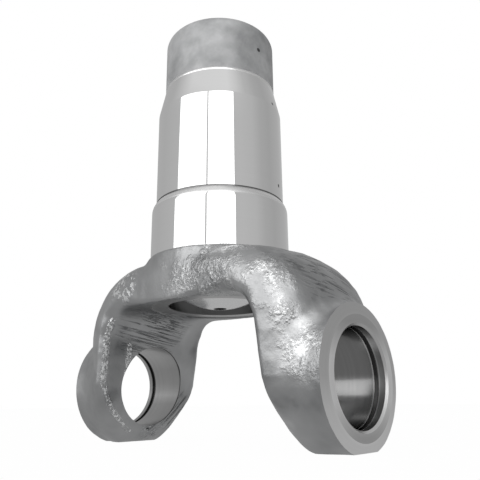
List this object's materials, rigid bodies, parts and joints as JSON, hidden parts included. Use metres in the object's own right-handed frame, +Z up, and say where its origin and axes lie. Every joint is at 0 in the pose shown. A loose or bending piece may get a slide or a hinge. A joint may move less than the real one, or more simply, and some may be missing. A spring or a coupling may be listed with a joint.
{
  "type": "slip yoke",
  "caption": "Forged driveshaft slip yoke: a two-eared fork with ring-grooved cross bores under a stepped, ground barrel that is splined inside and closed by a domed vent plug.",
  "frame": {"origin": "the joint centre, where the cross-bore axis meets the barrel axis", "axes": "+X along the cross bores from ear to ear, +Z up the barrel away from the fork, +Y completes the right-handed set"},
  "size_m": [0.133, 0.0624, 0.1849],
  "materials": {
    "forged_steel": "shot-blasted forging with ground and turned faces",
    "pressed_steel": "bright pressed sheet"
  },
  "bodies": {
    "root": {"yoke_forging": "forged_steel", "vent_plug": "pressed_steel"}
  },
  "joints": []
}
